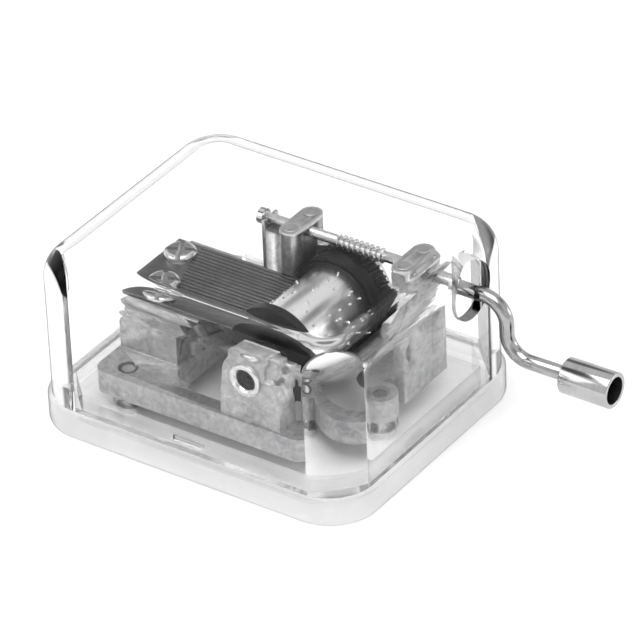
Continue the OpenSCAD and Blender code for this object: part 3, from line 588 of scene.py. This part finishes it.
def make_base():
    """Tray with a rounded foot edge, the flange under the cover and a lip inside it."""
    n = 20
    bw, bd, br = CASE_W + 2 * FLANGE, CASE_D + 2 * FLANGE, CORNER_R + FLANGE
    inset = BASE_EDGE + HOLD
    rows = [ring(bw - 2 * inset, bd - 2 * inset, br - inset, 0, n)]
    for k in range(7):
        t = pi / 2 * k / 6
        inset = BASE_EDGE * (1 - sin(t))
        rows.append(ring(bw - 2 * inset, bd - 2 * inset, br - inset, BASE_EDGE * (1 - cos(t)), n))
    for inset, z in ((0, BASE_H - 0.25), (0.07, BASE_H - 0.07), (0.25, BASE_H)):
        rows.append(ring(bw - 2 * inset, bd - 2 * inset, br - inset, z, n))
    top = BASE_H + LIP_H
    for inset, z in ((0, BASE_H), (0, top - 0.3), (0.09, top - 0.09), (0.3, top), (LIP_T - 0.25, top),
                     (LIP_T - 0.07, top - 0.07), (LIP_T, top - 0.25), (LIP_T, BASE_FLOOR + 0.5),
                     (LIP_T + 0.15, BASE_FLOOR + 0.15), (LIP_T + 0.5, BASE_FLOOR),
                     (LIP_T + 0.5 + HOLD, BASE_FLOOR)):
        rows.append(cavity_ring(LIP_GAP + inset, LIP_GAP + inset, z, n))
    me = skin("case_base", rows, (True, True))
    for x, y in FEET:
        boss = rounded([(BASE_FLOOR - 0.5, 0), (BASE_FLOOR - 0.5, FOOT_R), (PLATE_Z, FOOT_R, 0.2),
                        (PLATE_Z, 0, 0)], 0)
        boss = [(max(a, 0), max(r, 0)) for a, r in boss]
        me = cut(me, lathe("boss", boss, (x, y, 0), "Z", 64), "UNION")
    for x, y in FEET:
        bore = [(-1, 0), (-1, FOOT_HEAD_BORE), (FOOT_HEAD_DEEP, FOOT_HEAD_BORE),
                (FOOT_HEAD_DEEP, FOOT_BORE), (PLATE_Z + 1, FOOT_BORE), (PLATE_Z + 1, 0)]
        me = cut(me, lathe("bore", bore, (x, y, 0), "Z", 64))
    for side in (-1, 1):
        me = cut(me, latch_box(side, CASE_D / 2 - WALL - LIP_GAP, 0), "UNION")
    piece("case_base_clear", me, "case", "clear_acrylic", "case_base", sharp=40)
    me.materials[0] = MATS["clear_thick"]


make_cover()
make_base()

# ------------------------------------------------------------------ cylinder


def make_sleeve():
    y0, y1 = CYL_Y0, CYL_Y0 + CYL_LEN
    outline = rounded([(y0, CYL_R), (y1, CYL_R), (y1, CYL_R - CYL_WALL), (y0, CYL_R - CYL_WALL)], 0.12)
    me = lathe("sleeve", outline, (CYL_X, 0, CYL_Z), "Y", 160)
    piece("cylinder_sleeve_polished", me, "cylinder", "polished_cylinder", "cylinder_sleeve")


def make_pins():
    """Tune pins with domed tips, on the lines of the notes."""
    verts, faces = [], []
    n, note_y0 = 14, 0.1 - NOTE_PITCH * (NOTES - 1) / 2
    tip = CYL_R + PIN_OUT
    rows = ((CYL_R - PIN_SEAT, PIN_R), (tip - 0.12, PIN_R), (tip - 0.04, PIN_R * 0.8),
            (tip, PIN_R * 0.4))
    for i in range(NOTES):
        count = 3 + i % 3
        for k in range(count):
            t = radians(97 * i + 360 * (k + 0.3 * ((i + k) % 2)) / count)
            out = Vector((sin(t), 0, cos(t)))
            side = Vector((cos(t), 0, -sin(t)))
            centre = Vector((CYL_X, note_y0 + i * NOTE_PITCH, CYL_Z))
            start = len(verts)
            for r_out, r in rows:
                for j in range(n):
                    a = 2 * pi * j / n
                    verts.append(centre + out * r_out + side * r * cos(a) + Vector((0, r * sin(a), 0)))
            for q in range(len(rows) - 1):
                for j in range(n):
                    m = (j + 1) % n
                    faces.append([start + q * n + j, start + q * n + m, start + (q + 1) * n + m,
                                  start + (q + 1) * n + j])
            faces.append([start + j for j in range(n)][::-1])
            faces.append([start + (len(rows) - 1) * n + j for j in range(n)])
    piece("cylinder_pins_steel", mesh_of("pins", verts, faces), "cylinder", "nickel", "cylinder_pins")


make_sleeve()
make_pins()

# ------------------------------------------------------------------ worm shaft, crank, knob


def make_worm_shaft():
    """The shaft as one closed skin: plain stretches as rings, the thread as a sheared helical grid."""
    n, k = 48, 20
    verts, faces = [], []
    length = WORM_TURNS * WORM_PITCH
    flank = tan(radians(25))

    def radius(phase):
        u = abs(phase - round(phase)) * WORM_PITCH
        top = THREAD_T / 2 - THREAD_HALF * flank
        return WORM_TIP if u < top else max(WORM_ROOT, WORM_TIP - (u - top) / flank)

    def put(x, r, t):
        verts.append((x, WORM_Y + r * cos(t), WORM_Z + r * sin(t)))
        return len(verts) - 1

    steps = k * (WORM_TURNS + 2)
    grid = []
    for i in range(steps + 1):
        row = []
        for j in range(n + 1):
            s = WORM_PITCH * ((i - k) / k + j / n)
            fade = max(0.0, min(1.0, min(s, length - s) / (0.35 * WORM_PITCH)))
            r = WORM_ROOT + (radius((i - k) / k) - WORM_ROOT) * fade
            row.append(put(WORM_X0 + max(0.0, min(length, s)), r, 2 * pi * j / n))
        grid.append(row)
    for i in range(steps):
        for j in range(n):
            faces.append([grid[i][j], grid[i][j + 1], grid[i + 1][j + 1], grid[i + 1][j]])

    def rings(stations):
        rows = []
        for x, r in stations:
            rows.append([put(x, r, 2 * pi * j / n) for j in range(n)] if r > 0 else None)
        for a, b in zip(rows, rows[1:]):
            for j in range(n):
                m = (j + 1) % n
                faces.append([a[j], a[m], b[m], b[j]])
        return rows

    left = rings(((HEAD_X0 - 0.05, SHAFT_R - 0.12), (HEAD_X0 + 0.07, SHAFT_R), (WORM_X0 - 0.03, SHAFT_R),
                  (WORM_X0, WORM_ROOT)))
    faces.append(left[0][::-1])
    x1 = WORM_X0 + length
    step = SHAFT_OUT_X
    right = rings(((x1, WORM_ROOT), (x1 + 0.03, SHAFT_R), (step, SHAFT_R), (step, SHAFT_OUT_R - 0.1),
                   (step + 0.1, SHAFT_OUT_R), (CRANK_X0, SHAFT_OUT_R), (CRANK_X0, STUD_R),
                   (CRANK_X0 + STUD_L - 0.1, STUD_R), (CRANK_X0 + STUD_L, STUD_R - 0.1)))
    faces.append(right[-1])
    piece("worm_shaft_turned", mesh_of("worm", verts, faces), "crank", "shaft_steel", "worm_shaft",
          sharp=50)


def make_crank_arm():
    """The bent wire, swept along straights and two quarter bends, with a pin for the knob."""
    n = 48
    top, low = WORM_Z, KNOB_Z
    path = [(CRANK_X0, top, 1, 0)]
    bends = ((UPRIGHT_X - BEND_R, top - BEND_R, 90, 0), (UPRIGHT_X + BEND_R, low + BEND_R, 180, 270))
    for cx, cz, a0, a1 in bends:
        for s in range(25):
            t = radians(a0 + (a1 - a0) * s / 24)
            sign = 1 if a1 < a0 else -1
            path.append((cx + BEND_R * cos(t), cz + BEND_R * sin(t), sign * sin(t), -sign * cos(t)))
    path.append((KNOB_X0, low, 1, 0))
    rows, verts, faces = [], [], []

    def section(x, z, dx, dz, r):
        row = []
        for j in range(n):
            t = 2 * pi * j / n
            row.append(len(verts))
            verts.append((x - dz * r * sin(t), WORM_Y + r * cos(t), z + dx * r * sin(t)))
        rows.append(row)

    x, z, dx, dz = path[0]
    section(x, z, dx, dz, STUD_R)
    section(x, z, dx, dz, WIRE_R - 0.12)
    section(x + 0.12, z, dx, dz, WIRE_R)
    for p in path[1:-1]:
        section(*p, WIRE_R)
    x, z, dx, dz = path[-1]
    end = x + KNOB_WEB + 2 * END_CLEAR + WASHER_T
    for px, r in ((x - 0.12, WIRE_R), (x, WIRE_R - 0.12), (x, KNOB_PIN_R), (end - 0.15, KNOB_PIN_R),
                  (end, KNOB_PIN_R - 0.15)):
        section(px, z, dx, dz, r)
    for a, b in zip(rows, rows[1:]):
        for j in range(n):
            m = (j + 1) % n
            faces.append([a[j], a[m], b[m], b[j]])
    faces.append(rows[-1])
    # blind bore over the shaft's stud
    x, z, dx, dz = path[0]
    section(x + STUD_L + 0.2, z, dx, dz, STUD_R)
    for j in range(n):
        m = (j + 1) % n
        faces.append([rows[0][m], rows[0][j], rows[-1][j], rows[-1][m]])
    faces.append(rows[-1][::-1])
    piece("crank_arm_wire", mesh_of("arm", verts, faces), "crank", "chrome_wire", "crank_arm", sharp=50)


def make_knob():
    """Turned knob: a plain barrel with a thin rim round a deep hollow."""
    x0, x1 = 0.0, KNOB_LEN
    outline = rounded([(x0, KNOB_PIN_R + RUN_CLEAR, 0.08), (x0, KNOB_R, 0.22), (x1, KNOB_R, 0.22),
                       (x1, KNOB_HOLLOW_R, 0.25), (KNOB_WEB, KNOB_HOLLOW_R, 0.5),
                       (KNOB_WEB, KNOB_PIN_R + RUN_CLEAR, 0.08)], 0.1, 4)
    me = lathe("knob", outline, (KNOB_X0 + END_CLEAR, WORM_Y, KNOB_Z), "X", 128)
    piece("crank_knob_turned", me, "knob", "chrome_knob", "crank_knob")
    # the inside of the deep hollow is painted near-black: painted shade in the recess
    me.materials.append(MATS["dark_steel"])
    inside = KNOB_HOLLOW_R * MM * 1.04
    for poly in me.polygons:
        c = poly.center
        away = sqrt((c.y - WORM_Y * MM) ** 2 + (c.z - KNOB_Z * MM) ** 2)
        if away < inside and c.x > (KNOB_X0 + END_CLEAR + KNOB_WEB - 0.2) * MM:
            poly.material_index = 1


make_worm_shaft()
make_crank_arm()
make_knob()

# ------------------------------------------------------------------ refined and kept CAD nodes

BODY_OF = {n: b for b, ns in frame["record"]["behaviour"]["bodies"].items() for n in ns}
SLOT_OF = {s["node"]: s["material_slot"] for s in frame["record"]["subparts"]}
REFINED = {"bedplate": (0.2, 3.2), "comb": (0.05,), "left_bearing_cap": (0.08,),
           "right_bearing_cap": (0.08,), "retainer_fork": (0.06,), "comb_weights": (0.05,),
           "front_bush": (0.1,), "knob_washer": (0.06,)}

for node, sizes in REFINED.items():
    piece(node + "_soft", refined(node, *sizes), BODY_OF[node], SLOT_OF[node], node, sharp=40)

for node, ob in frame["nodes"].items():
    ob.data.materials.clear()
    ob.data.materials.append(MATS[SLOT_OF[node]])
    for poly in ob.data.polygons:
        poly.material_index = 0

# the arbor's hollow front end is dull and dark
arbor = frame["nodes"]["cylinder_arbor"].data
arbor.materials.append(MATS["dark_steel"])
for poly in arbor.polygons:
    if poly.center.y < ARBOR_DARK_Y * MM and poly.normal.y < 0.5:
        poly.material_index = 1
